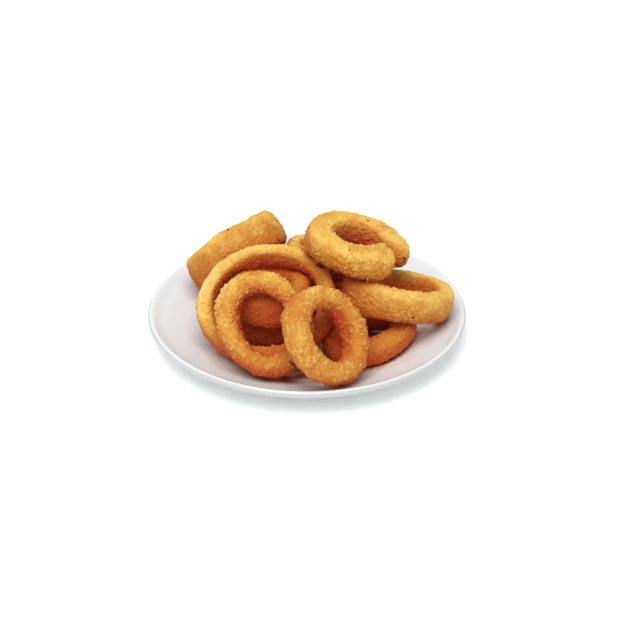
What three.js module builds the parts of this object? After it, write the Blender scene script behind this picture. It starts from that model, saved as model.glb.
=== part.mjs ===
// A side of breaded onion rings, heaped on a small round white plate.
// Millimetres, +Z up. The origin is the middle of the plate's foot, on the table,
// and -Y is the side that the plate is seen from.
import * as THREE from "three";

// The plate: a flat well, a rim that rises in one shallow curve, and a foot ring.
const plate = {
  diameter: 200,
  height: 19,
  wellDiameter: 116,
  wellHeight: 6,
  rimCurve: 1.5, // 1 is a straight rim, more is a rim that steepens outward
  footDiameter: 108,
  footWidth: 5,
  footDepth: 2.5,
  thickness: 4,
  lip: 4.2, // the edge is a little thicker than the rim behind it
  steps: 64,
};

// What all the rings share.
const crust = {
  squareness: 0.72, // 1 is a round section, 0 a rectangle
  swell: 0.045, // the coating is this share thicker and thinner along the ring
  crag: 0.45, // the height of the coating's lumps
  bend: 0.04, // the ring is out of flat by this share of its band
  stepsAround: 38,
  stepsAcross: 13,
};

// The torn ring on top: its two ends stop beside each other at its right.
const tear = {
  frontEnd: -20, // the bearing on the ring where the front half ends
  backEnd: 0, // and where the back half ends
  apart: 4.5, // how far each end has slipped from the middle line
  reach: 70, // degrees over which it slips
  thicker: 0.3, // and by what share its wall grows there, inward
};

// Each ring: its outer length and width, the height of its band and the thickness of its wall,
// its middle on the plate, how far its axis leans from upright, the bearing it leans toward
// (0 is +X, 90 is +Y, away from the viewer), and the turn of its oval.
// The ones lying on the plate come first, and each rests on those before it.
const rings = [
  {
    name: "ring_under_left",
    size: { long: 56.5, wide: 55, band: 18, wall: 13 },
    middle: [-24, -6.5, 17],
    axis: { lean: 0, toward: -85, turn: -33 },
  },
  {
    name: "ring_under_right",
    size: { long: 67, wide: 48.5, band: 14.5, wall: 17 },
    middle: [38.8, -27.3, 16.1],
    axis: { lean: 4, toward: -84, turn: 43 },
  },
  {
    name: "ring_under_back",
    size: { long: 57.5, wide: 56, band: 18, wall: 13 },
    middle: [16.5, 32.5, 20.5],
    axis: { lean: 11, toward: 121, turn: 11 },
  },
  {
    name: "ring_inner",
    size: { long: 50, wide: 54, band: 21, wall: 12.5 },
    middle: [-22.5, -16, 36.5],
    axis: { lean: 3, toward: 98, turn: -16 },
  },
  {
    name: "ring_back",
    size: { long: 53.5, wide: 50, band: 19, wall: 12.5 },
    middle: [11, 27.5, 42],
    axis: { lean: 15, toward: 87, turn: 51 },
  },
  {
    name: "ring_right",
    size: { long: 76, wide: 52, band: 21, wall: 12 },
    middle: [55.5, -10.5, 33],
    axis: { lean: 17, toward: 49, turn: 22 },
  },
  {
    name: "ring_large",
    size: { long: 87, wide: 81, band: 15, wall: 11 },
    middle: [-24.5, -23.5, 35],
    axis: { lean: 36, toward: -102, turn: 1 },
  },
  {
    name: "ring_left",
    size: { long: 68, wide: 57.5, band: 26, wall: 13.5 },
    middle: [-45.5, 38, 39],
    axis: { lean: 44, toward: 143, turn: -5 },
  },
  {
    name: "ring_top",
    size: { long: 66, wide: 58, band: 20, wall: 17.5 },
    middle: [31, -4.5, 65],
    axis: { lean: 14, toward: -4, turn: -4 },
  },
  {
    name: "ring_front_left",
    size: { long: 67, wide: 56, band: 16, wall: 13 },
    middle: [-25, -53, 38],
    axis: { lean: 53, toward: -98, turn: 114 },
  },
  {
    name: "ring_front",
    size: { long: 61, wide: 61, band: 15.5, wall: 13.5 },
    middle: [11.6, -69.8, 39.8],
    axis: { lean: 52, toward: -33, turn: 4 },
  },
];

const torn = "ring_top";

const turnAbout = (axis, degrees) =>
  new THREE.Quaternion().setFromAxisAngle(axis, THREE.MathUtils.degToRad(degrees));
const upright = new THREE.Vector3(0, 0, 1);
const sideways = new THREE.Vector3(0, 1, 0);
const fullTurn = 2 * Math.PI;

// A power that keeps its sign, which squares off a round section.
const signedPower = (value, power) => Math.sign(value) * Math.abs(value) ** power;

// Repeatable random numbers from 0 to 1.
function randomFrom(seed) {
  let state = seed;
  return () => {
    state = (state + 0x6d2b79f5) | 0;
    let mixed = Math.imul(state ^ (state >>> 15), 1 | state);
    mixed = (mixed + Math.imul(mixed ^ (mixed >>> 7), 61 | mixed)) ^ mixed;
    return ((mixed ^ (mixed >>> 14)) >>> 0) / 4294967296;
  };
}

// One section of crust at an angle round the oval: a loop of points about the middle line.
// Narrow is 1 along the ring and shrinks to 0 at a torn end.
function sectionLoop({ long, wide, band, wall }, angle, random, waves, narrow, slip) {
  const { squareness, swell, crag, bend, stepsAcross } = crust;
  const middle = new THREE.Vector3(
    ((long - wall) / 2) * Math.cos(angle),
    ((wide - wall) / 2) * Math.sin(angle),
    bend * band * Math.sin(2 * angle + waves[2]) - 0.4 * slip,
  );
  const outward = new THREE.Vector3(
    (wide - wall) * Math.cos(angle),
    (long - wall) * Math.sin(angle),
    0,
  ).normalize();
  middle.addScaledVector(outward, slip);
  const wave = Math.sin(2 * angle + waves[0]) + 0.6 * Math.sin(5 * angle + waves[1]);
  const fat = (1 + swell * wave) * narrow;
  const loop = [];
  for (let step = 0; step < stepsAcross; step++) {
    const turn = (fullTurn * step) / stepsAcross;
    const lump = crag * (2 * random() - 1) * narrow;
    const beside = (wall / 2) * fat * signedPower(Math.cos(turn), squareness);
    const above = (band / 2) * fat * signedPower(Math.sin(turn), squareness);
    const point = middle.clone().addScaledVector(outward, beside + lump * Math.cos(turn));
    point.z += above + lump * Math.sin(turn);
    loop.push(point);
  }
  return loop;
}

// A skin over loops of points. Its ends close in two tips, or it runs round into itself.
function skinOver(loops, tips) {
  const across = crust.stepsAcross;
  const points = [...loops.flat(), ...tips];
  const faces = [];
  const seams = tips.length ? loops.length - 1 : loops.length;
  for (let loop = 0; loop < seams; loop++) {
    const here = loop * across;
    const next = ((loop + 1) % loops.length) * across;
    for (let step = 0; step < across; step++) {
      const beside = (step + 1) % across;
      faces.push(here + step, next + step, next + beside);
      faces.push(here + step, next + beside, here + beside);
    }
  }
  if (tips.length) {
    const firstTip = loops.length * across;
    const lastLoop = (loops.length - 1) * across;
    for (let step = 0; step < across; step++) {
      const beside = (step + 1) % across;
      faces.push(firstTip, step, beside);
      faces.push(firstTip + 1, lastLoop + beside, lastLoop + step);
    }
  }
  const geometry = new THREE.BufferGeometry().setFromPoints(points);
  geometry.setIndex(faces);
  geometry.computeVertexNormals();
  return geometry;
}

// One breaded ring about its own axis: an oval band with a rounded section, uneven as batter is.
function ringGeometry(size, seed) {
  const random = randomFrom(seed);
  const waves = [random(), random(), random()].map((share) => share * fullTurn);
  const loops = [];
  for (let step = 0; step < crust.stepsAround; step++) {
    const angle = (fullTurn * step) / crust.stepsAround;
    loops.push(sectionLoop(size, angle, random, waves, 1, 0));
  }
  return skinOver(loops, []);
}

// The torn ring: the same band, but it ends twice, in two rounded stumps side by side.
function tornGeometry(size, seed) {
  const random = randomFrom(seed);
  const waves = [random(), random(), random()].map((share) => share * fullTurn);
  const start = THREE.MathUtils.degToRad(tear.backEnd);
  const end = THREE.MathUtils.degToRad(tear.frontEnd) + fullTurn;
  const reach = THREE.MathUtils.degToRad(tear.reach);
  const stump = size.wall / (size.long - size.wall); // the rounded end, as an angle
  const angles = [start + 0.06 * stump, start + 0.4 * stump];
  for (let step = 0; step < crust.stepsAround; step++) {
    const share = step / (crust.stepsAround - 1);
    angles.push(start + stump + share * (end - start - 2 * stump));
  }
  angles.push(end - 0.4 * stump, end - 0.06 * stump);
  const slipAt = (angle) => {
    const fromStart = Math.max(0, 1 - (angle - start) / reach);
    const fromEnd = Math.max(0, 1 - (end - angle) / reach);
    return tear.apart * (fromStart ** 2 - fromEnd ** 2);
  };
  const narrowAt = (angle) => {
    const nearest = Math.min(angle - start, end - angle, stump) / stump;
    return Math.sqrt(1 - (1 - nearest) ** 2);
  };
  const sizeAt = (angle) => {
    const closeness = Math.max(0, 1 - Math.min(angle - start, end - angle) / reach);
    return { ...size, wall: size.wall * (1 + tear.thicker * closeness ** 2) };
  };
  const loops = angles.map((angle) =>
    sectionLoop(sizeAt(angle), angle, random, waves, narrowAt(angle), slipAt(angle)),
  );
  const tips = [start, end].map((angle) => {
    const loop = sectionLoop(sizeAt(angle), angle, random, waves, 0, slipAt(angle));
    return loop[0];
  });
  return skinOver(loops, tips);
}

// The plate's profile from the middle of its underside, out round the lip and back in on top.
function plateGeometry() {
  const edge = plate.diameter / 2;
  const well = plate.wellDiameter / 2;
  const foot = plate.footDiameter / 2;
  const lip = plate.lip / 2;
  const at = (radius, height) => new THREE.Vector2(radius, height);
  const rimHeight = (radius) => {
    const share = (radius - well) / (edge - well);
    return plate.wellHeight + (plate.height - plate.wellHeight) * share ** plate.rimCurve;
  };
  const rimRadii = [0, 0.14, 0.3, 0.46, 0.64, 0.82, 1].map(
    (share) => well + share * (edge - lip - well),
  );
  const underWell = plate.footDepth * 0.6;
  const bottom = [
    at(0, underWell),
    at(foot - plate.footWidth, underWell),
    at(foot - plate.footWidth + 0.8, 0),
    at(foot - 0.8, 0),
    at(foot, plate.footDepth),
  ];
  const under = rimRadii.slice(2).map((radius) => at(radius, rimHeight(radius) - plate.thickness));
  const lipTurns = [-60, -15, 30, 75].map((degrees) => {
    const turn = THREE.MathUtils.degToRad(degrees);
    return at(edge - lip + lip * Math.cos(turn), plate.height - lip + lip * Math.sin(turn));
  });
  const top = rimRadii.reverse().map((radius) => at(radius, rimHeight(radius)));
  top[0].y = plate.height; // the rim meets the top of the lip
  const profile = [...bottom, ...under.slice(0, -1), ...lipTurns, ...top, at(0, plate.wellHeight)];
  return new THREE.LatheGeometry(profile, plate.steps).rotateX(Math.PI / 2);
}

const heap = new THREE.Group();

const porcelain = new THREE.MeshStandardMaterial({
  color: 0xf2f2f0,
  roughness: 0.15,
  metalness: 0,
});
const plateMesh = new THREE.Mesh(plateGeometry(), porcelain);
plateMesh.name = "plate";
heap.add(plateMesh);

rings.forEach(({ name, size, middle, axis }, index) => {
  const goldenCrust = new THREE.MeshStandardMaterial({
    color: 0xd9962f,
    roughness: 0.7,
    metalness: 0,
  });
  const shape = name === torn ? tornGeometry : ringGeometry;
  const mesh = new THREE.Mesh(shape(size, 100 + index), goldenCrust);
  mesh.name = name;
  mesh.position.set(...middle);
  mesh.quaternion
    .copy(turnAbout(upright, axis.toward))
    .multiply(turnAbout(sideways, axis.lean))
    .multiply(turnAbout(upright, axis.turn - axis.toward));
  heap.add(mesh);
});

export default heap;
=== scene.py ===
import math

import bmesh
import bpy
import numpy as np
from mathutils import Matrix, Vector
from mathutils.bvhtree import BVHTree
from mathutils.kdtree import KDTree


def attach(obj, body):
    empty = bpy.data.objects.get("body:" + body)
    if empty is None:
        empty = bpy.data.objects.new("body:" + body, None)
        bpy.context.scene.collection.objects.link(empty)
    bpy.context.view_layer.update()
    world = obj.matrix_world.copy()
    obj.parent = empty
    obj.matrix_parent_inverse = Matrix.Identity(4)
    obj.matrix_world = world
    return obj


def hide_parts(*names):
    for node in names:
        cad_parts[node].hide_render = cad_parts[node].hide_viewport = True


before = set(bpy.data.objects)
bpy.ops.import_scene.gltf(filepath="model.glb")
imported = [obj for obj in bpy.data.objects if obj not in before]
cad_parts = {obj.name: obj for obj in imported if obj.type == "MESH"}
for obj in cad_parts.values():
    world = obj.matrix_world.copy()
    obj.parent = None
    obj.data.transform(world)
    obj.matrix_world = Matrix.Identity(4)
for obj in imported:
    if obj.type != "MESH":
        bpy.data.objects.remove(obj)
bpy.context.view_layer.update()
mm = 0.001
ringNames = sorted(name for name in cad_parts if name.startswith("ring_"))


# The camera stands where the plate is seen from, 30 degrees above the table.
camera = {
    "aim": (0, 0, 0.019),  # the middle of the plate at the height of its rim
    "distance": 1.15,
    "elevation": 30,
    "lens": 102.8,
    "sensor": 36,
    "shift": (0.0203, -0.0194),
    "view": 640,  # points across the picture, and down it
}


def cameraPlace(values):
    tilt = math.radians(values["elevation"])
    back = Vector((0, -math.cos(tilt), math.sin(tilt)))
    return Vector(values["aim"]) + values["distance"] * back


def placeCamera(values):
    data = bpy.data.cameras.new("photoCamera")
    data.lens = values["lens"]
    data.sensor_width = values["sensor"]
    data.shift_x, data.shift_y = values["shift"]
    data.clip_start = 0.05
    eye = bpy.data.objects.new("photoCamera", data)
    eye.location = cameraPlace(values)
    eye.rotation_euler = (math.radians(90 - values["elevation"]), 0, 0)
    bpy.context.scene.collection.objects.link(eye)
    bpy.context.scene.camera = eye


def viewRay(across, down, values):
    # The camera's place, and the way from there to a point of its picture.
    tilt = math.radians(values["elevation"])
    width = values["sensor"] / values["lens"]
    sideways = (across / values["view"] - 0.5 + values["shift"][0]) * width
    up = (0.5 - down / values["view"] + values["shift"][1]) * width
    way = Vector((sideways, math.cos(tilt) + up * math.sin(tilt),
                  up * math.cos(tilt) - math.sin(tilt)))
    return cameraPlace(values), way.normalized()


placeCamera(camera)


# Helpers for node trees.
def addNode(tree, kind, inputs=None, **settings):
    node = tree.nodes.new(kind)
    for name, value in settings.items():
        setattr(node, name, value)
    for socket, value in (inputs or {}).items():
        if isinstance(value, bpy.types.NodeSocket):
            tree.links.new(value, node.inputs[socket])
        else:
            node.inputs[socket].default_value = value
    return node


def math2(tree, operation, first, second=0.0, clamp=False):
    node = addNode(tree, "ShaderNodeMath", operation=operation, use_clamp=clamp)
    for index, value in enumerate((first, second)):
        if isinstance(value, bpy.types.NodeSocket):
            tree.links.new(value, node.inputs[index])
        else:
            node.inputs[index].default_value = value
    return node.outputs[0]


def mapTo(tree, value, low, high, toLow=0.0, toHigh=1.0):
    node = addNode(tree, "ShaderNodeMapRange")
    tree.links.new(value, node.inputs["Value"])
    for socket, number in (("From Min", low), ("From Max", high)):
        node.inputs[socket].default_value = number
    for socket, number in (("To Min", toLow), ("To Max", toHigh)):
        node.inputs[socket].default_value = number
    return node.outputs["Result"]


def mixColours(tree, share, first, second, blend="MIX"):
    node = addNode(tree, "ShaderNodeMix", data_type="RGBA", blend_type=blend)
    for index, value in ((0, share), (6, first), (7, second)):
        if isinstance(value, bpy.types.NodeSocket):
            tree.links.new(value, node.inputs[index])
        else:
            node.inputs[index].default_value = value
    return node.outputs[2]


def newGroup(name, inputs, outputs, kind="ShaderNodeTree"):
    tree = bpy.data.node_groups.new(name, kind)
    for label, socketType, value in inputs:
        socket = tree.interface.new_socket(label, in_out="INPUT", socket_type=socketType)
        if value is not None:
            socket.default_value = value
    for label, socketType in outputs:
        tree.interface.new_socket(label, in_out="OUTPUT", socket_type=socketType)
    start = tree.nodes.new("NodeGroupInput")
    end = tree.nodes.new("NodeGroupOutput")
    return tree, start, end


# Shader groups that the crusts and the plate share.
def buildCrumbGrain():
    # Fine crumbs over a surface: a height for the bump and a mask for their tips.
    tree, start, end = newGroup(
        "crumbGrain",
        [
            ("Size", "NodeSocketFloat", 1.0),
            ("Roughness", "NodeSocketFloat", 0.6),
        ],
        [("Height", "NodeSocketFloat"), ("Tips", "NodeSocketFloat")],
    )
    place = addNode(tree, "ShaderNodeTexCoord").outputs["Object"]
    scale = math2(tree, "DIVIDE", 1000.0, start.outputs["Size"])
    wobble = addNode(tree, "ShaderNodeTexNoise", {"Vector": place, "Scale": 900.0, "Detail": 2.0})
    shifted = addNode(tree, "ShaderNodeVectorMath", operation="MULTIPLY_ADD")
    tree.links.new(wobble.outputs["Color"], shifted.inputs[0])
    shifted.inputs[1].default_value = (0.0007, 0.0007, 0.0007)
    tree.links.new(place, shifted.inputs[2])
    cells = addNode(tree, "ShaderNodeTexVoronoi", {"Vector": shifted.outputs[0], "Scale": scale})
    fine = addNode(
        tree,
        "ShaderNodeTexNoise",
        {"Vector": place, "Scale": math2(tree, "MULTIPLY", scale, 2.3), "Detail": 3.0,
         "Roughness": start.outputs["Roughness"]},
    )
    dome = mapTo(tree, cells.outputs["Distance"], 0.1, 0.75, 1.0, 0.0)
    tone = addNode(tree, "ShaderNodeSeparateColor", {"Color": cells.outputs["Color"]})
    uneven = math2(tree, "MULTIPLY", dome, mapTo(tree, tone.outputs["Red"], 0, 1, 0.45, 1.0))
    height = math2(tree, "ADD", uneven, math2(tree, "MULTIPLY", fine.outputs["Fac"], 0.5))
    tips = mapTo(tree, height, 0.55, 1.1)
    tree.links.new(height, end.inputs["Height"])
    tree.links.new(tips, end.inputs["Tips"])
    return tree


def buildPatches():
    # Slow change of tone over a surface, from 0 to 1.
    tree, start, end = newGroup(
        "slowPatches",
        [
            ("Size", "NodeSocketFloat", 10.0),
            ("Seed", "NodeSocketFloat", 0.0),
            ("Contrast", "NodeSocketFloat", 1.0),
        ],
        [("Mask", "NodeSocketFloat")],
    )
    place = addNode(tree, "ShaderNodeTexCoord").outputs["Object"]
    noise = addNode(
        tree,
        "ShaderNodeTexNoise",
        {"Vector": place, "W": start.outputs["Seed"],
         "Scale": math2(tree, "DIVIDE", 1000.0, start.outputs["Size"]), "Detail": 3.0},
        noise_dimensions="4D",
    )
    centred = math2(tree, "SUBTRACT", noise.outputs["Fac"], 0.5)
    contrast = math2(tree, "MULTIPLY", start.outputs["Contrast"], 3.0)
    spread = math2(tree, "MULTIPLY", centred, contrast)
    tree.links.new(math2(tree, "ADD", spread, 0.5, clamp=True), end.inputs["Mask"])
    return tree


def buildSpecks():
    # Small dark specks, few where Amount is low.
    tree, start, end = newGroup(
        "darkSpecks",
        [
            ("Size", "NodeSocketFloat", 3.0),
            ("Seed", "NodeSocketFloat", 0.0),
            ("Amount", "NodeSocketFloat", 0.1),
        ],
        [("Mask", "NodeSocketFloat")],
    )
    place = addNode(tree, "ShaderNodeTexCoord").outputs["Object"]
    scale = math2(tree, "DIVIDE", 1000.0, start.outputs["Size"])
    noise = addNode(
        tree,
        "ShaderNodeTexNoise",
        {"Vector": place, "W": start.outputs["Seed"], "Scale": scale, "Detail": 4.0,
         "Roughness": 0.65},
        noise_dimensions="4D",
    )
    level = mapTo(tree, start.outputs["Amount"], 0.0, 1.0, 0.80, 0.28)
    above = math2(tree, "SUBTRACT", noise.outputs["Fac"], level)
    tree.links.new(math2(tree, "MULTIPLY", above, 16.0, clamp=True), end.inputs["Mask"])
    return tree


crumbGrain = buildCrumbGrain()
slowPatches = buildPatches()
darkSpecks = buildSpecks()


def useGroup(tree, group, **inputs):
    node = tree.nodes.new("ShaderNodeGroup")
    node.node_tree = group
    for name, value in inputs.items():
        if isinstance(value, bpy.types.NodeSocket):
            tree.links.new(value, node.inputs[name])
        else:
            node.inputs[name].default_value = value
    return node


# The crust's tones, from the palest crumb tips to the burnt specks, and how closed in
# a place is, from 0 to 1, where each darker tone starts and where it is full. The darker
# tones are painted shade where the crust is closed in, red in the holes and where rings touch.
crustTones = {
    "tip": (0.92, 0.66, 0.26, 1),
    "straw": (0.82, 0.515, 0.095, 1),
    "gold": (0.61, 0.255, 0.021, 1),
    "amber": (0.56, 0.142, 0.013, 1),
    # the two reds are painted shade: in the holes, and where the rings touch
    "deepShade": (0.66, 0.060, 0.020, 1),
    "contactShade": (0.46, 0.045, 0.018, 1),
    "burntAndContactShade": (0.19, 0.030, 0.012, 1),
    "paintedLightFrom": (-0.35, 0.0),
    "goldFrom": (0.0, 0.26),
    "amberFrom": (0.28, 0.56),
    "deepShadeFrom": (0.48, 0.76),
    "contactShadeFrom": (0.80, 1.02),
    "drift": 0.25,  # how far the slow patches shift those places
    "toasted": 0.32,  # how strong the small amber blotches are
    "grainSize": 1.0,
    "bump": 1.0,
    "bumpHeight": 0.0006,
    "lightDepth": 0.0018,  # how deep light goes into the breading
    "sheen": 0.24,
}


def makeCrust(name, seed, browning, tones):
    material = bpy.data.materials.new(name)
    material.use_nodes = True
    tree = material.node_tree
    shader = tree.nodes["Principled BSDF"]
    relief = addNode(tree, "ShaderNodeAttribute", attribute_name="relief").outputs["Fac"]
    shelter = addNode(tree, "ShaderNodeAttribute", attribute_name="shelter").outputs["Fac"]
    scorchAndContactShade = addNode(tree, "ShaderNodeAttribute", attribute_name="scorchAndContactShade").outputs["Fac"]
    grain = useGroup(tree, crumbGrain, Size=tones["grainSize"])
    patches = useGroup(tree, slowPatches, Size=13.0, Seed=seed, Contrast=1.1)
    blotches = useGroup(tree, slowPatches, Size=3.2, Seed=seed + 3.1, Contrast=1.4)
    # painted shade: straw where the crust lies open, gold on its sides, amber and red where
    # it is closed in
    uneven = math2(tree, "SUBTRACT", patches.outputs["Mask"], 0.5 - browning)
    room = math2(tree, "SUBTRACT", 1.0, shelter)
    drift = math2(tree, "MULTIPLY", uneven, math2(tree, "MULTIPLY", room, tones["drift"]))
    closed = math2(tree, "ADD", shelter, drift)
    colour = tones["straw"]
    for tone in ("gold", "amber", "deepShade", "contactShade"):
        share = mapTo(tree, closed, *tones[tone + "From"])
        colour = mixColours(tree, share, colour, tones[tone])
    blotch = mapTo(tree, blotches.outputs["Mask"], 0.5, 1.0)
    toasted = math2(tree, "MULTIPLY", blotch, tones["toasted"])
    colour = mixColours(tree, toasted, colour, tones["amber"])
    # crumbs that stand out are paler, partly their own tone and partly a painted highlight
    # that fades where shade falls, and the crust that lies most open gets painted light
    tips = grain.outputs["Tips"]
    raised = math2(tree, "MULTIPLY", relief, mapTo(tree, tips, 0, 1, 0.35, 0.9))
    raised = math2(tree, "MAXIMUM", raised, math2(tree, "MULTIPLY", tips, 0.45))
    raised = math2(tree, "MULTIPLY", raised, mapTo(tree, closed, 0.2, 0.7, 0.9, 0.2))
    raised = math2(tree, "MAXIMUM", raised, mapTo(tree, closed, *tones["paintedLightFrom"], 0.8, 0.0))
    colour = mixColours(tree, raised, colour, tones["tip"])
    # painted shade: the dips between them are darker, most where the crust is closed in
    low = math2(tree, "MULTIPLY", mapTo(tree, relief, 0.0, 0.3, 0.4, 0.0),
                mapTo(tree, closed, 0.0, 0.35, 0.2, 1.0))
    colour = mixColours(tree, low, colour, tones["amber"])
    # burnt crumbs, and dark specks painted as shade where the rings lie on each other
    spots = useGroup(tree, darkSpecks, Size=4.0, Seed=seed + 7.7, Amount=scorchAndContactShade)
    colour = mixColours(tree, spots.outputs["Mask"], colour, tones["burntAndContactShade"])
    tree.links.new(colour, shader.inputs["Base Color"])
    rough = mapTo(tree, blotches.outputs["Mask"], 0, 1, 0.52, 0.74)
    tree.links.new(rough, shader.inputs["Roughness"])
    bump = addNode(tree, "ShaderNodeBump",
                   {"Strength": tones["bump"], "Distance": tones["bumpHeight"]})
    tree.links.new(grain.outputs["Height"], bump.inputs["Height"])
    tree.links.new(bump.outputs["Normal"], shader.inputs["Normal"])
    shader.inputs["Subsurface Weight"].default_value = 0.12
    shader.inputs["Subsurface Radius"].default_value = (1.0, 0.42, 0.12)
    shader.inputs["Subsurface Scale"].default_value = tones["lightDepth"]
    shader.inputs["Specular IOR Level"].default_value = tones["sheen"]
    return material


# The breading grows on a smooth copy of each ring's solid.
def buildBreading():
    # Lumps, crags and loose crumbs on a ring's skin.
    tree, start, end = newGroup(
        "breading",
        [
            ("Ring", "NodeSocketGeometry", None),
            ("Smoothing", "NodeSocketInt", 3),
            ("Lump Height", "NodeSocketFloat", 0.0006),
            ("Lump Size", "NodeSocketFloat", 0.007),
            ("Crag Height", "NodeSocketFloat", 0.0004),
            ("Crag Size", "NodeSocketFloat", 0.0028),
            ("Crumb Density", "NodeSocketFloat", 230000.0),
            ("Crumb Size", "NodeSocketFloat", 0.00062),
            ("Clump Density", "NodeSocketFloat", 45000.0),
            ("Clump Size", "NodeSocketFloat", 0.0009),
            ("Sag Place", "NodeSocketVector", (0, 0, 0)),
            ("Sag Way", "NodeSocketVector", (0, 0, -1)),
            ("Sag Reach", "NodeSocketFloat", 0.02),
            ("Sag Depth", "NodeSocketFloat", 0.0),
            ("Seed", "NodeSocketInt", 0),
            ("Crust", "NodeSocketMaterial", None),
        ],
        [("Ring", "NodeSocketGeometry")],
        kind="GeometryNodeTree",
    )
    given = start.outputs
    smooth = addNode(tree, "GeometryNodeSubdivisionSurface",
                     {"Mesh": given["Ring"], "Level": given["Smoothing"]})
    normal = addNode(tree, "GeometryNodeInputNormal").outputs["Normal"]

    def ripple(height, size, detail):
        noise = addNode(
            tree,
            "ShaderNodeTexNoise",
            {"W": given["Seed"], "Scale": math2(tree, "DIVIDE", 1.0, size), "Detail": detail},
            noise_dimensions="4D",
        )
        centred = math2(tree, "SUBTRACT", noise.outputs["Fac"], 0.5)
        doubled = math2(tree, "MULTIPLY", centred, 2.6)
        return math2(tree, "MULTIPLY", doubled, height)

    lumps = ripple(given["Lump Height"], given["Lump Size"], 1.0)
    crags = ripple(given["Crag Height"], given["Crag Size"], 2.0)
    along = addNode(tree, "ShaderNodeVectorMath", {0: normal}, operation="SCALE")
    tree.links.new(math2(tree, "ADD", lumps, crags), along.inputs["Scale"])
    # batter that sagged to one side before it set
    place = addNode(tree, "GeometryNodeInputPosition").outputs["Position"]
    away = addNode(tree, "ShaderNodeVectorMath", {0: place, 1: given["Sag Place"]},
                   operation="DISTANCE").outputs["Value"]
    far = math2(tree, "DIVIDE", away, given["Sag Reach"])
    near = math2(tree, "SUBTRACT", 1.0, far, clamp=True)
    facing = addNode(tree, "ShaderNodeVectorMath", {0: normal, 1: given["Sag Way"]},
                     operation="DOT_PRODUCT").outputs["Value"]
    onside = math2(tree, "MULTIPLY", facing, 1.0, clamp=True)
    soft = math2(tree, "SMOOTH_MIN", math2(tree, "MULTIPLY", near, 1.6), 1.0)
    drop = math2(tree, "MULTIPLY", math2(tree, "MULTIPLY", soft, onside), given["Sag Depth"])
    sagged = addNode(tree, "ShaderNodeVectorMath", {0: given["Sag Way"], "Scale": drop},
                     operation="SCALE").outputs["Vector"]
    moved = addNode(tree, "ShaderNodeVectorMath", {0: along.outputs["Vector"], 1: sagged},
                    operation="ADD")
    lumpy = addNode(
        tree,
        "GeometryNodeSetPosition",
        {"Geometry": smooth.outputs["Mesh"], "Offset": moved.outputs["Vector"]},
    )
    tumble = addNode(tree, "FunctionNodeRandomValue", {"Seed": given["Seed"]},
                     data_type="FLOAT_VECTOR")
    tumble.inputs[0].default_value = (0, 0, 0)
    tumble.inputs[1].default_value = (6.28, 6.28, 6.28)
    sizes = addNode(tree, "FunctionNodeRandomValue",
                    {"Seed": math2(tree, "ADD", given["Seed"], 17.0)}, data_type="FLOAT_VECTOR")
    sizes.inputs[0].default_value = (0.35, 0.45, 0.6)
    sizes.inputs[1].default_value = (1.15, 1.35, 1.7)

    def scatter(density, size, shift):
        # low stones of crumb, tumbled and stretched, over the whole skin
        spread = addNode(
            tree,
            "GeometryNodeDistributePointsOnFaces",
            {"Mesh": lumpy.outputs["Geometry"], "Density": density,
             "Seed": math2(tree, "ADD", given["Seed"], shift)},
        )
        crumb = addNode(tree, "GeometryNodeMeshIcoSphere", {"Radius": size, "Subdivisions": 1})
        return addNode(
            tree,
            "GeometryNodeInstanceOnPoints",
            {"Points": spread.outputs["Points"], "Instance": crumb.outputs["Mesh"],
             "Rotation": tumble.outputs[0], "Scale": sizes.outputs[0]},
        ).outputs["Instances"]

    crumbs = scatter(given["Crumb Density"], given["Crumb Size"], 0.0)
    clumps = scatter(given["Clump Density"], given["Clump Size"], 5.0)
    together = addNode(tree, "GeometryNodeJoinGeometry")
    tree.links.new(crumbs, together.inputs[0])
    tree.links.new(clumps, together.inputs[0])
    tree.links.new(lumpy.outputs["Geometry"], together.inputs[0])
    real = addNode(
        tree, "GeometryNodeRealizeInstances", {"Geometry": together.outputs["Geometry"]}
    )
    painted = addNode(
        tree,
        "GeometryNodeSetMaterial",
        {"Geometry": real.outputs["Geometry"], "Material": given["Crust"]},
    )
    tree.links.new(painted.outputs["Geometry"], end.inputs["Ring"])
    return tree


def setInputs(modifier, values):
    # A modifier's inputs go by the socket's identifier.
    for item in modifier.node_group.interface.items_tree:
        if item.item_type == "SOCKET" and item.in_out == "INPUT" and item.name in values:
            modifier[item.identifier] = values[item.name]


def smoothCopy(nodeName):
    # The solid's triangles, merged and paired back into quads.
    shape = bmesh.new()
    shape.from_mesh(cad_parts[nodeName].data)
    bmesh.ops.remove_doubles(shape, verts=shape.verts, dist=2e-6)
    bmesh.ops.join_triangles(
        shape,
        faces=shape.faces,
        angle_face_threshold=math.radians(60),
        angle_shape_threshold=math.radians(60),
    )
    mesh = bpy.data.meshes.new(nodeName + "_smooth")
    shape.to_mesh(mesh)
    shape.free()
    return mesh


def evaluatedMesh(thing):
    bpy.context.view_layer.update()
    graph = bpy.context.evaluated_depsgraph_get()
    return bpy.data.meshes.new_from_object(thing.evaluated_get(graph))


breading = buildBreading()

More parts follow.
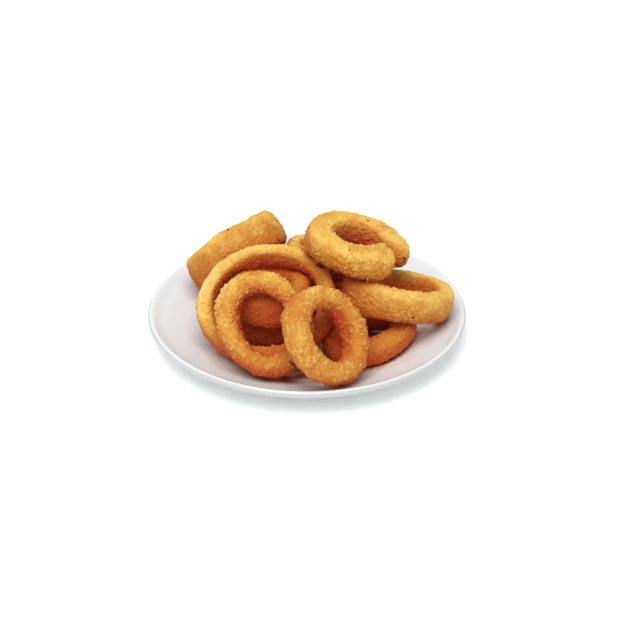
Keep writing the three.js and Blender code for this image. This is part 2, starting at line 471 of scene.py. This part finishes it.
crust = {
    "voxel": 0.42,  # mm, the finest crumb that has a shape of its own
    "smoothing": 3,
    "firstSeed": 11,
    "seedStep": 5.3,
    # how brown each ring is, from pale below 0 to well done
    "browning": {
        "ring_under_left": 0.2,
        "ring_under_right": 0.2,
        "ring_under_back": 0.2,
        "ring_inner": 0.0,
        "ring_back": -0.3,
        "ring_right": -0.4,
        "ring_large": -0.8,
        "ring_left": 0.1,
        "ring_top": 0.1,
        "ring_front_left": 0.6,
        "ring_front": 0.8,
    },
    # the rings whose breading isn't the usual one, in metres and pieces for a square metre
    "breading": {
        "ring_right": {"Crag Height": 0.0006},
        "ring_large": {
            "Crag Height": 0.00025, "Crumb Size": 0.0006, "Clump Density": 12000.0,
            "Sag Place": (-0.022, 0.001, 0.051), "Sag Reach": 0.026, "Sag Depth": 0.0048,
        },
        "ring_left": {
            "Crag Height": 0.0003, "Crumb Size": 0.0006, "Clump Density": 12000.0,
        },
        "ring_top": {
            "Crag Height": 0.0008, "Crag Size": 0.0023, "Clump Density": 60000.0,
        },
        "ring_front_left": {
            "Crag Height": 0.0008, "Crag Size": 0.0023, "Clump Density": 80000.0,
            "Clump Size": 0.00105, "Sag Place": (-0.053, -0.035, 0.050),
            "Sag Way": (-0.98, 0, -0.2), "Sag Reach": 0.022, "Sag Depth": 0.0024,
        },
        "ring_front": {
            "Crag Height": 0.0008, "Crag Size": 0.0023, "Clump Density": 80000.0,
            "Clump Size": 0.00105,
        },
    },
}


def skinTree(mesh):
    coordinates = [vertex.co.copy() for vertex in mesh.vertices]
    polygons = [tuple(face.vertices) for face in mesh.polygons]
    return BVHTree.FromPolygons(coordinates, polygons)


def growRing(name, index, values):
    base = smoothCopy(name)
    ring = bpy.data.objects.new(name + "_crust", base)
    bpy.context.scene.collection.objects.link(ring)
    seed = values["seedStep"] * index
    material = makeCrust(name + "_crust", seed, values["browning"][name], crustTones)
    base.materials.append(material)
    # the plain smooth skin, for measuring how far each crumb stands out
    smoothing = ring.modifiers.new("smooth", "SUBSURF")
    smoothing.levels = smoothing.render_levels = values["smoothing"]
    plain = evaluatedMesh(ring)
    ring.modifiers.remove(smoothing)
    grow = ring.modifiers.new("breading", "NODES")
    grow.node_group = breading
    setInputs(grow, {
        "Smoothing": values["smoothing"],
        "Seed": values["firstSeed"] + index,
        "Crust": material,
        **values["breading"].get(name, {}),
    })
    melt = ring.modifiers.new("melt", "REMESH")
    melt.mode = "VOXEL"
    melt.voxel_size = values["voxel"] * mm
    melt.use_smooth_shade = True
    grown = evaluatedMesh(ring)
    ring.modifiers.clear()
    ring.data = grown
    grown.materials.clear()
    grown.materials.append(material)
    return ring, plain


# How closed in a place is, measured with a dome of rays; it sets the painted shade on the
# crust and the plate. Lengths are in metres.
ringShelter = {
    "rays": 40,
    "reach": 0.06,
    "lift": 0.0012,  # the rays start this far above the skin
    "every": 4,  # one point of the skin in so many is measured
}
plateShelter = {"rays": 28, "reach": 0.045, "lift": 0.0008}


def domeRays(count):
    golden = math.pi * (3 - math.sqrt(5))
    rays = []
    for step in range(count):
        up = 1 - (step + 0.5) / count
        across = math.sqrt(1 - up * up)
        angle = golden * step
        rays.append(Vector((across * math.cos(angle), across * math.sin(angle), up)))
    return rays


def blockedShare(vertex, rays, blockers, values):
    turn = vertex.normal.to_track_quat("Z", "Y")
    origin = vertex.co + vertex.normal * values["lift"]
    hits = [blockers.ray_cast(origin, turn @ ray, values["reach"])[0] for ray in rays]
    return sum(hit is not None for hit in hits) / len(rays)


def shelterOf(plainSkins, blockers, values):
    # For each smooth skin, the points measured and their shares, from 0 in the open to 1.
    rays = domeRays(values["rays"])
    found = {}
    for name, plain in plainSkins.items():
        measured = list(plain.vertices)[::values["every"]]
        tree = KDTree(len(measured))
        shares = []
        for place, vertex in enumerate(measured):
            tree.insert(vertex.co, place)
            shares.append(blockedShare(vertex, rays, blockers, values))
        tree.balance()
        found[name] = (tree, shares)
    return found


def paintPlate(piece, blockers, values):
    # The plate gets painted shade and a warm painted reflection of the crust where the heap
    # covers it.
    rays = domeRays(values["rays"])
    closed = []
    for vertex in piece.data.vertices:
        facesUp = vertex.normal.z > 0.5
        closed.append(blockedShare(vertex, rays, blockers, values) if facesUp else 0.0)
    layer = piece.data.attributes.new("shelter", "FLOAT", "POINT")
    layer.data.foreach_set("value", closed)


ringPaint = {
    "skin": 0.0001,  # m, what stands out less counts as bare skin
    "crumb": 0.0010,  # m, what stands out this much more is a full crumb
    "near": 3,  # measured points that are mixed at each point
    "blur": 0.0004,  # m
    "litTop": 0.14,  # painted light: what faces up is paler
    "shift": 0.03,
}


def paintRing(ring, plain, shelter, scorchesAndContactShade, values):
    mesh = ring.data
    skin = skinTree(plain)
    tree, shares = shelter
    relief = np.zeros(len(mesh.vertices), np.float32)
    closed = np.zeros(len(mesh.vertices), np.float32)
    for place, vertex in enumerate(mesh.vertices):
        spot, normal, face, distance = skin.find_nearest(vertex.co)
        outward = (vertex.co - spot).dot(normal)
        relief[place] = (outward - values["skin"]) / values["crumb"]
        near = tree.find_n(vertex.co, values["near"])
        weights = [1 / (gap + values["blur"]) for point, which, gap in near]
        total = sum(weight * shares[which] for weight, (point, which, gap) in zip(weights, near))
        # painted light: crust that faces up is made paler
        litFromAbove = values["litTop"] * max(normal.z, 0.0)
        closed[place] = total / sum(weights) - litFromAbove + values["shift"]
    points = np.zeros(len(mesh.vertices) * 3, np.float32)
    mesh.vertices.foreach_get("co", points)
    points = points.reshape(-1, 3)
    scorchAndContactShade = np.zeros(len(points), np.float32)
    for across, down, reach in scorchesAndContactShade:
        spot = skin.ray_cast(*viewRay(across, down, camera))[0]
        if spot is not None:
            gap = np.linalg.norm(points - np.array(spot), axis=1)
            scorchAndContactShade += np.clip(1 - gap / (reach * mm), 0, 1)
    for label, numbers in (("relief", relief), ("shelter", closed), ("scorchAndContactShade", scorchAndContactShade)):
        layer = mesh.attributes.new(label, "FLOAT", "POINT")
        layer.data.foreach_set("value", np.clip(numbers, 0, 1))


rings = {}
plainSkins = {}
for index, name in enumerate(ringNames):
    rings[name], plainSkins[name] = growRing(name, index, crust)
    print("breaded", name, len(rings[name].data.vertices), "points")


plate = {
    # mm and degrees, the main ones as in the solid
    "edge": 100.0,
    "height": 19.0,
    "well": 58.0,
    "wellHeight": 6.0,
    "underWell": 1.5,
    "rimCurve": 1.5,
    "thickness": 4.0,
    "lip": 2.1,
    "lipStart": -62,  # where the round lip leaves the underside
    "lipTurn": 152,
    "lipBlend": 7.0,  # the rim's top runs into the lip over this width
    "lipGap": 1.2,
    "foot": 54.0,
    "footWidth": 5.0,
    "footRun": 2.0,  # from the foot to where the rim's underside starts
    "underHeight": 2.6,
    "underSlope": 0.02,
    "underSteps": 18,
    "lipSteps": 8,
    "rimSteps": 30,
    "wellFrom": 55,  # the well's own loops start here and come every wellStep
    "wellStep": 5,
    "turns": 180,
}


def rimHeight(radius, values):
    share = (radius - values["well"]) / (values["edge"] - values["well"])
    rise = values["height"] - values["wellHeight"]
    return values["wellHeight"] + rise * max(0.0, share) ** values["rimCurve"]


def footProfile(values):
    foot, underWell = values["foot"], values["underWell"]
    inner = foot - values["footWidth"]
    profile = [(0, underWell), (inner * 0.5, underWell), (inner - 0.8, underWell)]
    profile += [(inner - 0.15, underWell - 0.2), (inner + 0.35, 0.45), (inner + 0.8, 0.0)]
    profile += [(foot - 0.8, 0.0), (foot - 0.3, 0.4), (foot - 0.05, 1.4), (foot + 0.5, 2.4)]
    return profile


def rimProfile(values):
    # Out along the underside, round the lip and back in to the well's edge.
    edge, lip = values["edge"], values["lip"]
    bend = edge - lip  # where the lip's middle is
    start = values["foot"] + values["footRun"]
    profile = []
    for step in range(values["underSteps"] + 1):
        radius = start + (bend - values["lipGap"] - start) * step / values["underSteps"]
        least = values["underHeight"] + values["underSlope"] * (radius - values["foot"])
        profile.append((radius, max(rimHeight(radius, values) - values["thickness"], least)))
    for step in range(values["lipSteps"] + 1):
        angle = values["lipStart"] + values["lipTurn"] * step / values["lipSteps"]
        turn = math.radians(angle)
        profile.append((bend + lip * math.cos(turn),
                        values["height"] - lip + lip * math.sin(turn)))
    lift = values["height"] - rimHeight(bend, values)
    for step in range(1, values["rimSteps"] + 1):
        radius = bend + (values["well"] - bend) * step / values["rimSteps"]
        outer = max(0.0, 1 - (bend - radius) / values["lipBlend"])
        eased = outer * outer * (3 - 2 * outer)
        profile.append((radius, rimHeight(radius, values) + lift * eased))
    return profile


def plateProfile(values):
    radii = range(values["wellFrom"], -1, -values["wellStep"])
    well = [(radius, values["wellHeight"]) for radius in radii]
    return footProfile(values) + rimProfile(values) + well


def turnPlate(values):
    shape = bmesh.new()
    loops = []
    for radius, height in plateProfile(values):
        if radius == 0:
            loops.append([shape.verts.new((0, 0, height * mm))])
            continue
        loop = []
        for step in range(values["turns"]):
            angle = 2 * math.pi * step / values["turns"]
            loop.append(shape.verts.new((radius * mm * math.cos(angle),
                                         radius * mm * math.sin(angle), height * mm)))
        loops.append(loop)
    for before, after in zip(loops, loops[1:]):
        for step in range(values["turns"]):
            beside = (step + 1) % values["turns"]
            corners = [before[step % len(before)], before[beside % len(before)],
                       after[beside % len(after)], after[step % len(after)]]
            corners = list(dict.fromkeys(corners))
            shape.faces.new(corners)
    bmesh.ops.recalc_face_normals(shape, faces=shape.faces)
    mesh = bpy.data.meshes.new("plate_glazed")
    shape.to_mesh(mesh)
    shape.free()
    for face in mesh.polygons:
        face.use_smooth = True
    piece = bpy.data.objects.new("plate_glazed", mesh)
    bpy.context.scene.collection.objects.link(piece)
    return piece


glaze = {
    "white": ((0.71, 0.755, 0.76, 1), (0.74, 0.785, 0.79, 1)),
    "reflectionAndShade": (0.72, 0.50, 0.32, 1),  # painted warm reflection of the crust, with painted shade, beside the heap
    "reflectionAndShadeFrom": (0.42, 0.80),
    # painted shade, dark red, right under the heap
    "underHeapShade": (0.50, 0.09, 0.025, 1),
    "underHeapShadeFrom": (0.58, 0.80),
    "bareFoot": (0.62, 0.58, 0.52, 1),
    "bareHeight": (0.0002, 0.0005),  # m above the table
    # painted shade: the lip is greyer
    "lip": (0.52, 0.525, 0.52, 1),
    "lipShadeFrom": (0.0982, 0.0996),  # m from the plate's middle
    "roughness": (0.10, 0.16),
}


def makeGlaze(values):
    material = bpy.data.materials.new("white_glaze")
    material.use_nodes = True
    tree = material.node_tree
    shader = tree.nodes["Principled BSDF"]
    patches = useGroup(tree, slowPatches, Size=45.0, Seed=2.0, Contrast=0.8)
    fine = useGroup(tree, slowPatches, Size=2.6, Seed=5.0, Contrast=0.5)
    white = mixColours(tree, patches.outputs["Mask"], *values["white"])
    # a painted warm reflection of the crust and painted shade, where the heap covers the plate
    shelter = addNode(tree, "ShaderNodeAttribute", attribute_name="shelter").outputs["Fac"]
    centred = math2(tree, "SUBTRACT", patches.outputs["Mask"], 0.5)
    covered = math2(tree, "ADD", shelter, math2(tree, "MULTIPLY", centred, 0.15))
    reflectionAndShade = mapTo(tree, covered, *values["reflectionAndShadeFrom"])
    colour = mixColours(tree, reflectionAndShade, white, values["reflectionAndShade"])
    # painted shade right under the heap
    under = mapTo(tree, covered, *values["underHeapShadeFrom"])
    colour = mixColours(tree, under, colour, values["underHeapShade"])
    # the foot's bottom is bare, where the plate stood in the kiln
    place = addNode(tree, "ShaderNodeTexCoord").outputs["Object"]
    height = addNode(tree, "ShaderNodeSeparateXYZ", {"Vector": place}).outputs["Z"]
    bare = mapTo(tree, height, *values["bareHeight"], 1.0, 0.0)
    colour = mixColours(tree, bare, colour, values["bareFoot"])
    # painted shade: the plate is greyer round the lip
    flat = addNode(tree, "ShaderNodeVectorMath", {0: place, 1: (1, 1, 0)}, operation="MULTIPLY")
    radius = addNode(tree, "ShaderNodeVectorMath", {0: flat.outputs[0]}, operation="LENGTH")
    lipShadeShare = mapTo(tree, radius.outputs["Value"], *values["lipShadeFrom"])
    colour = mixColours(tree, lipShadeShare, colour, values["lip"])
    tree.links.new(colour, shader.inputs["Base Color"])
    sheen = mapTo(tree, fine.outputs["Mask"], 0, 1, *values["roughness"])
    rough = math2(tree, "ADD", sheen, math2(tree, "MULTIPLY", bare, 0.6), clamp=True)
    tree.links.new(rough, shader.inputs["Roughness"])
    bump = addNode(tree, "ShaderNodeBump", {"Strength": 0.12, "Distance": 0.00006})
    tree.links.new(fine.outputs["Mask"], bump.inputs["Height"])
    tree.links.new(bump.outputs["Normal"], shader.inputs["Normal"])
    shader.inputs["Specular IOR Level"].default_value = 0.5
    return material


plateGlazed = turnPlate(plate)
plateGlazed.data.materials.append(makeGlaze(glaze))
print("turned the plate")


# Burnt crumbs, and dark specks painted as shade where rings lie on each other: how far
# across and down the camera's picture each is seen, and how far its darkening reaches in mm.
scorchesAndContactShade = {
    "ring_top": [
        # along its far edge, from the left to the torn end
        (344, 211, 2.6), (368, 221, 1.8), (390, 229, 1.9), (395, 230, 2.0), (405, 241, 2.4),
        (404, 258, 2.6), (404, 262, 3.0),
        # on its face
        (349, 250, 1.7), (327, 234, 1.4),
        # along its foot, where it lies on the others: dark specks painted as contact shade
        (312, 258, 3.0), (308, 252, 2.6), (315, 261, 2.4), (321, 263, 1.8), (328, 267, 2.0),
        (350, 276, 1.8), (355, 278, 2.4), (358, 277, 1.8), (365, 279, 2.4),
    ],
    "ring_left": [(228, 230, 2.2), (192, 279, 2.2), (283, 242, 2.8), (278, 240, 2.0)],
    "ring_right": [
        (382, 290, 2.2), (413, 317, 2.4), (451, 309, 2.4), (453, 303, 2.4),
        # its near edge, under the top ring: dark specks painted as shade
        (345, 277, 2.4), (363, 280, 3.6), (366, 281, 3.0),
    ],
    "ring_large": [
        # where the top ring lies on it: dark specks painted as contact shade
        (313, 261, 2.6), (318, 265, 3.0), (322, 267, 2.4), (325, 267, 3.0), (329, 272, 2.6),
    ],
    # the first two lie under the top ring's foot: dark specks painted as contact shade
    "ring_back": [(331, 272, 3.2), (336, 276, 3.2), (300, 240, 1.8)],
    # dark specks painted as shade in the gap between the two front rings
    "ring_front_left": [(290, 362, 3.0), (294, 366, 3.0)],
}


def joinSkins(meshes):
    coordinates = []
    polygons = []
    for mesh in meshes:
        first = len(coordinates)
        coordinates.extend(vertex.co.copy() for vertex in mesh.vertices)
        polygons.extend(tuple(first + corner for corner in face.vertices) for face in mesh.polygons)
    return BVHTree.FromPolygons(coordinates, polygons)


everything = joinSkins([*plainSkins.values(), plateGlazed.data])
shelters = shelterOf(plainSkins, everything, ringShelter)
paintPlate(plateGlazed, joinSkins(plainSkins.values()), plateShelter)
print("measured the shelter")
for name, ring in rings.items():
    paintRing(ring, plainSkins[name], shelters[name], scorchesAndContactShade.get(name, []), ringPaint)
    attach(ring, "root")
    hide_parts(name)
for plain in plainSkins.values():
    bpy.data.meshes.remove(plain)
print("painted the rings")

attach(plateGlazed, "root")
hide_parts("plate")


studio = {
    "floor": (0.93, 0.93, 0.93, 1),
    "floorEdge": 9,  # m from the middle
    "glow": 0.12,
    "sky": 0.57,
    "lights": {
        # name: (place, aim, size, watts)
        "overhead": ((-0.14, -0.55, 1.42), (0, 0, 0.02), 1.3, 20.5),
        "front": ((-0.5, -1.5, 0.8), (0, 0, 0.02), 1.2, 2.0),
    },
}


def buildStudio(values):
    floorMesh = bpy.data.meshes.new("floor")
    edge = values["floorEdge"]
    corners = [(-edge, -edge, 0), (edge, -edge, 0), (edge, edge, 0), (-edge, edge, 0)]
    floorMesh.from_pydata(corners, [], [(0, 1, 2, 3)])
    floor = bpy.data.objects.new("floor", floorMesh)
    bpy.context.scene.collection.objects.link(floor)
    paint = bpy.data.materials.new("floor_paint")
    paint.use_nodes = True
    shader = paint.node_tree.nodes["Principled BSDF"]
    shader.inputs["Base Color"].default_value = values["floor"]
    shader.inputs["Roughness"].default_value = 0.9
    shader.inputs["Specular IOR Level"].default_value = 0.1
    shader.inputs["Emission Color"].default_value = (1, 1, 1, 1)
    shader.inputs["Emission Strength"].default_value = values["glow"]
    floorMesh.materials.append(paint)
    world = bpy.data.worlds.new("studio")
    world.use_nodes = True
    world.node_tree.nodes["Background"].inputs["Color"].default_value = (1, 1, 1, 1)
    world.node_tree.nodes["Background"].inputs["Strength"].default_value = values["sky"]
    bpy.context.scene.world = world
    for name, (place, aim, size, watts) in values["lights"].items():
        data = bpy.data.lights.new(name, "AREA")
        data.shape = "DISK"
        data.size = size
        data.energy = watts
        lamp = bpy.data.objects.new(name, data)
        lamp.location = place
        away = Vector(place) - Vector(aim)
        lamp.rotation_euler = away.to_track_quat("Z", "Y").to_euler()
        bpy.context.scene.collection.objects.link(lamp)


buildStudio(studio)
bpy.context.scene.view_settings.view_transform = "Standard"
print("lit the studio")
